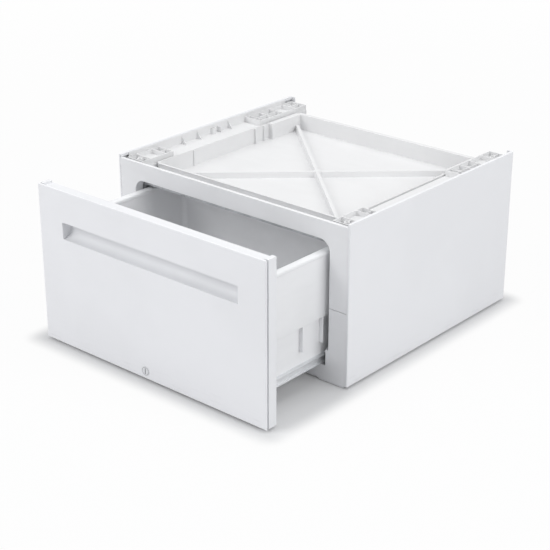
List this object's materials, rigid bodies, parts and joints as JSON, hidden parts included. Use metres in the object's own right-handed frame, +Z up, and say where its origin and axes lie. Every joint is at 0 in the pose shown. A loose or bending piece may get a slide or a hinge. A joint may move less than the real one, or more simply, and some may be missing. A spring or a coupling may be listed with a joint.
{
  "type": "laundry pedestal drawer",
  "caption": "Low white laundry pedestal that raises a washer or dryer, with foot seats and a tray on top and a storage drawer on ball slides.",
  "frame": {"origin": "centre of the cabinet's footprint on the floor, feet screwed in", "axes": "+Z up, +X to the right seen from the front, -Y the way the drawer opens"},
  "size_m": [0.686, 0.8714, 0.381],
  "materials": {
    "panel_paint": "white enamel on sheet steel, half gloss",
    "face_paint": "white enamel on sheet steel, half gloss",
    "frame_moulding": "white moulded plastic, fine texture",
    "face_plastic": "white moulded plastic, satin",
    "deck_plastic": "white moulded plastic, satin",
    "tub_plastic": "white moulded plastic, fine texture inside",
    "galvanised_steel": "zinc coated sheet",
    "slide_zinc": "bright zinc plate",
    "cage_steel": "plain steel strip",
    "ball_steel": "polished",
    "fastener_zinc": "bright zinc plate",
    "bumper_rubber": "soft light grey rubber",
    "lock_plastic": "light grey moulded plastic",
    "foot_plastic": "dark grey glass filled plastic"
  },
  "bodies": {
    "cabinet": {"side_panel_left": "panel_paint", "side_panel_right": "panel_paint", "back_panel": "panel_paint", "front_frame": "frame_moulding", "plinth_moulding": "frame_moulding", "base_rail_left": "galvanised_steel", "base_rail_right": "galvanised_steel", "base_crossbar_front": "galvanised_steel", "base_crossbar_rear": "galvanised_steel", "corner_post_front_left": "galvanised_steel", "corner_post_front_right": "galvanised_steel", "corner_post_rear_left": "galvanised_steel", "corner_post_rear_right": "galvanised_steel", "deck_beam_front": "galvanised_steel", "deck_beam_rear": "galvanised_steel", "shelf_rail_left": "galvanised_steel", "shelf_rail_right": "galvanised_steel", "deck_tray": "deck_plastic", "side_shelf_left": "deck_plastic", "side_shelf_right": "deck_plastic", "foot_seat_front_left": "deck_plastic", "foot_seat_front_right": "deck_plastic", "foot_seat_rear_left": "deck_plastic", "foot_seat_rear_right": "deck_plastic", "slide_outer_left": "slide_zinc", "slide_outer_right": "slide_zinc", "lock_strike": "galvanised_steel", "foot_nuts": "fastener_zinc", "cabinet_screws": "fastener_zinc", "slide_rivets": "fastener_zinc"},
    "drawer": {"slide_inner_left": "slide_zinc", "slide_inner_right": "slide_zinc", "drawer_skin": "face_paint", "drawer_liner": "face_plastic", "end_cap_left": "face_plastic", "end_cap_right": "face_plastic", "handle_pocket": "face_plastic", "drawer_tub": "tub_plastic", "drawer_bracket_left": "slide_zinc", "drawer_bracket_right": "slide_zinc", "drawer_screws": "fastener_zinc", "drawer_bumpers": "bumper_rubber", "lock_body": "lock_plastic"},
    "ball_cages": {"ball_cage_left": "cage_steel", "ball_cage_right": "cage_steel", "slide_balls_left": "ball_steel", "slide_balls_right": "ball_steel"},
    "lock": {"lock_rotor": "lock_plastic", "lock_cam": "galvanised_steel"},
    "foot_front_left": {"foot_front_left": "foot_plastic"},
    "foot_front_right": {"foot_front_right": "foot_plastic"},
    "foot_rear_left": {"foot_rear_left": "foot_plastic"},
    "foot_rear_right": {"foot_rear_right": "foot_plastic"}
  },
  "joints": [
    {"name": "drawer_slide", "type": "slide", "parent": "cabinet", "child": "drawer", "axis": [0, -1, 0], "range_m": [-0.218, 0.036]},
    {"name": "ball_cages_slide", "type": "slide", "parent": "cabinet", "child": "ball_cages", "axis": [0, -1, 0], "range_m": [-0.109, 0.018]},
    {"name": "lock_turn", "type": "hinge", "parent": "drawer", "child": "lock", "pos_m": [-0.014, -0.54, 0.0235], "axis": [0, 1, 0], "range_deg": [0, 90]},
    {"name": "foot_front_left_screw", "type": "slide", "parent": "cabinet", "child": "foot_front_left", "axis": [0, 0, -1], "range_m": [0, 0.012]},
    {"name": "foot_front_right_screw", "type": "slide", "parent": "cabinet", "child": "foot_front_right", "axis": [0, 0, -1], "range_m": [0, 0.012]},
    {"name": "foot_rear_left_screw", "type": "slide", "parent": "cabinet", "child": "foot_rear_left", "axis": [0, 0, -1], "range_m": [0, 0.012]},
    {"name": "foot_rear_right_screw", "type": "slide", "parent": "cabinet", "child": "foot_rear_right", "axis": [0, 0, -1], "range_m": [0, 0.012]}
  ],
  "couplings": [
    {"joint": "ball_cages_slide", "follows": "drawer_slide", "ratio": 0.5}
  ]
}
